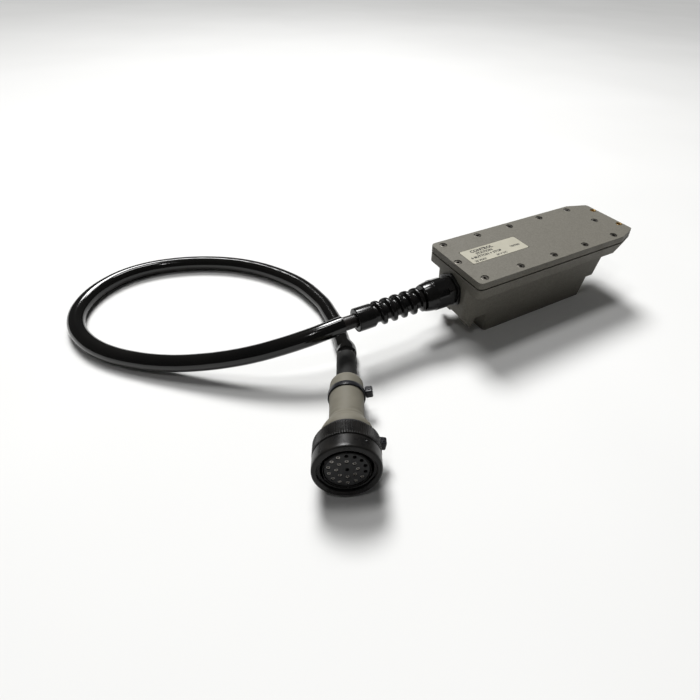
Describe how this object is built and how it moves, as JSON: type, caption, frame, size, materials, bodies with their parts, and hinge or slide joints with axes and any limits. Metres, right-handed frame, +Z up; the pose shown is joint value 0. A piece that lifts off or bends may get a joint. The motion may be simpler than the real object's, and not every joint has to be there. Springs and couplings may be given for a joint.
{
  "type": "pendant control station",
  "caption": "Hand-held pendant control station lying face down: screwed rear cover, guarded push-buttons, cable gland with bend relief, and a looped cable ending in a circular plug.",
  "frame": {"origin": "below the middle of the station (gland dome nut to nose), on the surface that the button guard's rim stands on", "axes": "+X along the station from the gland to the nose, +Z up through the rear cover, +Y to the side where the cable loop lies"},
  "size_m": [0.485, 0.3402, 0.0667],
  "materials": {
    "casting": "fine sand-texture grey paint",
    "rubber": "matt black",
    "label": "satin cream film",
    "screw_steel": "darkened steel",
    "brass": "dull brass",
    "legend": "satin yellow",
    "black_nylon": "satin black",
    "switch_plastic": "matt black",
    "stop_red": "satin red",
    "board": "green solder resist",
    "gloss_tubing": "high-gloss black",
    "shrink_sleeve": "matt dark grey",
    "shrink_boot": "satin light putty"
  },
  "bodies": {
    "station": {"Housing": "casting", "RearCover": "casting", "LidGasket": "rubber", "GlandSeal": "rubber", "CableTail": "rubber", "CableJacket": "rubber", "NameLabel": "label", "CoverScrew_01": "screw_steel", "CoverScrew_02": "screw_steel", "CoverScrew_03": "screw_steel", "CoverScrew_04": "screw_steel", "CoverScrew_05": "screw_steel", "CoverScrew_06": "screw_steel", "CoverScrew_07": "screw_steel", "CoverScrew_08": "screw_steel", "CoverScrew_09": "screw_steel", "CoverScrew_10": "screw_steel", "CoverScrew_11": "screw_steel", "CoverScrew_12": "screw_steel", "HookInsert_1": "brass", "HookInsert_2": "brass", "LegendPlate": "legend", "ButtonBezel_1": "black_nylon", "ButtonBezel_2": "black_nylon", "ButtonBezel_3": "black_nylon", "ButtonBezel_4": "black_nylon", "ButtonBezel_5": "black_nylon", "ButtonBezel_6": "black_nylon", "StopBezel": "black_nylon", "TerminalStrip": "black_nylon", "GlandHexFlange": "black_nylon", "GlandBody": "black_nylon", "GlandDomeNut": "black_nylon", "GlandInnerNut": "black_nylon", "BendRelief": "black_nylon", "BootTie_1": "black_nylon", "BootTie_2": "black_nylon", "PlugShell": "black_nylon", "ContactInsert": "black_nylon", "SwitchBlock_1": "switch_plastic", "SwitchBlock_2": "switch_plastic", "SwitchBlock_3": "switch_plastic", "SwitchBlock_4": "switch_plastic", "SwitchBlock_5": "switch_plastic", "SwitchBlock_6": "switch_plastic", "StopContactBlock": "switch_plastic", "WiringBoard": "board", "CableTubing": "gloss_tubing", "ShrinkSleeve": "shrink_sleeve", "ShrinkBoot": "shrink_boot"},
    "button_1": {"ButtonCap_1": "black_nylon"},
    "button_2": {"ButtonCap_2": "black_nylon"},
    "button_3": {"ButtonCap_3": "black_nylon"},
    "button_4": {"ButtonCap_4": "black_nylon"},
    "button_5": {"ButtonCap_5": "black_nylon"},
    "button_6": {"ButtonCap_6": "black_nylon"},
    "stop_stem": {"StopStem": "black_nylon"},
    "stop_head": {"StopHead": "stop_red"},
    "coupling_ring": {"CouplingRing": "black_nylon"}
  },
  "joints": [
    {"name": "button_1_press", "type": "slide", "parent": "station", "child": "button_1", "axis": [0, 0, 1], "range_m": [0, 0.003], "stiffness_N_per_m": 700},
    {"name": "button_2_press", "type": "slide", "parent": "station", "child": "button_2", "axis": [0, 0, 1], "range_m": [0, 0.003], "stiffness_N_per_m": 700},
    {"name": "button_3_press", "type": "slide", "parent": "station", "child": "button_3", "axis": [0, 0, 1], "range_m": [0, 0.003], "stiffness_N_per_m": 700},
    {"name": "button_4_press", "type": "slide", "parent": "station", "child": "button_4", "axis": [0, 0, 1], "range_m": [0, 0.003], "stiffness_N_per_m": 700},
    {"name": "button_5_press", "type": "slide", "parent": "station", "child": "button_5", "axis": [0, 0, 1], "range_m": [0, 0.003], "stiffness_N_per_m": 700},
    {"name": "button_6_press", "type": "slide", "parent": "station", "child": "button_6", "axis": [0, 0, 1], "range_m": [0, 0.003], "stiffness_N_per_m": 700},
    {"name": "stop_press", "type": "slide", "parent": "station", "child": "stop_stem", "axis": [0, 0, 1], "range_m": [0, 0.004], "stiffness_N_per_m": 900},
    {"name": "stop_twist", "type": "hinge", "parent": "stop_stem", "child": "stop_head", "pos_m": [0.045, 0, 0.0058], "axis": [0, 0, -1], "range_deg": [0, 30], "stiffness_Nm_per_rad": 0.05},
    {"name": "coupling_turn", "type": "hinge", "parent": "station", "child": "coupling_ring", "pos_m": [-0.2231, -0.0906, 0.02191], "axis": [-0.419, -0.8986, 0.1305], "range_deg": [0, 120]}
  ]
}
